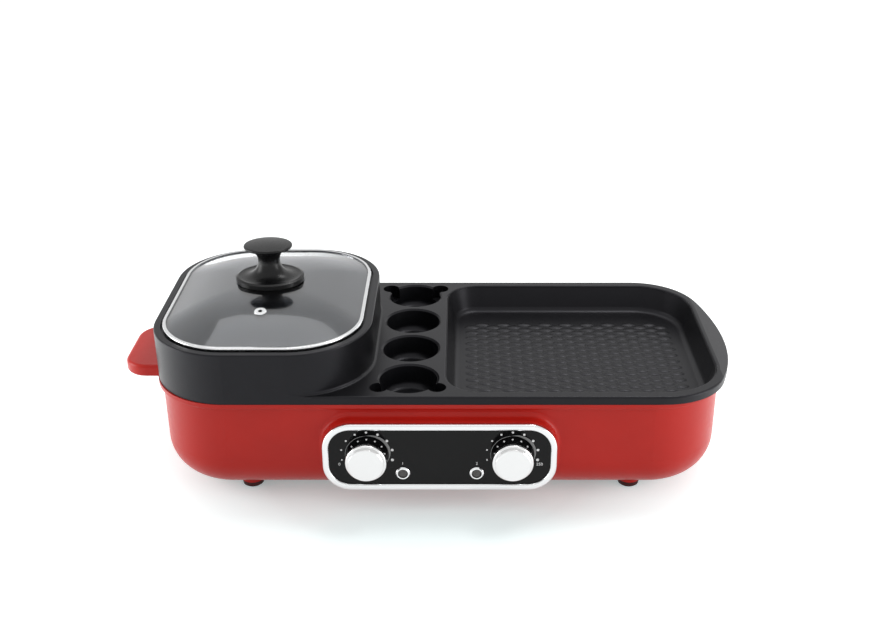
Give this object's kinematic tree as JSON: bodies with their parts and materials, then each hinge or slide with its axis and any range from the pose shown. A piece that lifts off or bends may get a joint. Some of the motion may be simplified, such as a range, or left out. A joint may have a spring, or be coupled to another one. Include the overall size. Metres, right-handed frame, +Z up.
{
  "type": "electric hot pot with griddle and lid",
  "caption": "Countertop cooker: a lift-off black cast plate with a deep lidded pot, egg cups and a griddle, on a red moulded base with dials and lamps.",
  "frame": {"origin": "middle of the whole footprint, at table level under the feet", "axes": "+X from the pot to the griddle along the length, +Y from the dials to the rear, +Z up"},
  "size_m": [0.613, 0.2962, 0.2216],
  "materials": {
    "red_enamel_plastic": "satin red moulded phenolic",
    "black_cast": "satin black non-stick coating on die-cast metal",
    "rubber_feet": "dull dark rubber",
    "zinc_steel": "zinc-plated sheet and screws",
    "element_steel": "dull heat-stained sheath",
    "black_gloss": "glossy black panel",
    "silver_trim": "bright silver plated trim",
    "dark_knob": "glossy black moulding",
    "smoked_glass": "tempered, lightly smoked",
    "steel_rim": "polished rolled rim",
    "lens": "smoked lamp lens",
    "ceramic": "cream insulating body",
    "brass_terminals": "bright",
    "black_moulding": "matt black moulding"
  },
  "bodies": {
    "base": {"base_housing": "red_enamel_plastic", "bottom_cover": "zinc_steel", "bottom_cover_screws": "zinc_steel", "control_fascia": "black_gloss", "foot_1": "rubber_feet", "foot_2": "rubber_feet", "foot_3": "rubber_feet", "foot_4": "rubber_feet", "foot_screws": "zinc_steel", "griddle_heater": "element_steel", "griddle_heater_clamp": "zinc_steel", "griddle_heater_supports": "zinc_steel", "griddle_heater_terminals": "brass_terminals", "griddle_lamp": "ceramic", "griddle_lamp_bezel": "silver_trim", "griddle_lamp_lens": "lens", "griddle_thermal_cutout": "black_moulding", "griddle_thermostat": "ceramic", "inlet_pins": "brass_terminals", "inlet_screws": "zinc_steel", "panel_bezel": "silver_trim", "pot_heater": "element_steel", "pot_heater_clamp": "zinc_steel", "pot_heater_supports": "zinc_steel", "pot_heater_terminals": "brass_terminals", "pot_lamp": "ceramic", "pot_lamp_bezel": "silver_trim", "pot_lamp_lens": "lens", "pot_thermal_cutout": "black_moulding", "pot_thermostat": "ceramic", "power_inlet": "black_moulding", "reflector_tray": "zinc_steel", "terminal_block": "ceramic", "thermostat_nuts": "zinc_steel", "tray_screws": "zinc_steel"},
    "plate": {"cooking_plate": "black_cast"},
    "lid": {"lid_glass": "smoked_glass", "lid_rim": "steel_rim", "lid_knob": "dark_knob", "lid_knob_washer": "zinc_steel", "lid_knob_screw": "zinc_steel", "vent_eyelet": "steel_rim"},
    "pot_dial": {"pot_knob": "silver_trim", "pot_knob_cap": "silver_trim", "pot_shaft": "zinc_steel"},
    "griddle_dial": {"griddle_knob": "silver_trim", "griddle_knob_cap": "silver_trim", "griddle_shaft": "zinc_steel"}
  },
  "joints": [
    {"name": "plate_lift", "type": "slide", "parent": "base", "child": "plate", "axis": [0, 0, 1], "range_m": [0, 0.1]},
    {"name": "lid_lift", "type": "slide", "parent": "plate", "child": "lid", "axis": [0, 0, 1], "range_m": [0, 0.08]},
    {"name": "pot_dial_turn", "type": "hinge", "parent": "base", "child": "pot_dial", "pos_m": [-0.0542, -0.13985, 0.0624], "axis": [0, 1, 0], "range_deg": [0, 240]},
    {"name": "griddle_dial_turn", "type": "hinge", "parent": "base", "child": "griddle_dial", "pos_m": [0.0832, -0.13985, 0.0624], "axis": [0, 1, 0], "range_deg": [0, 240]}
  ]
}
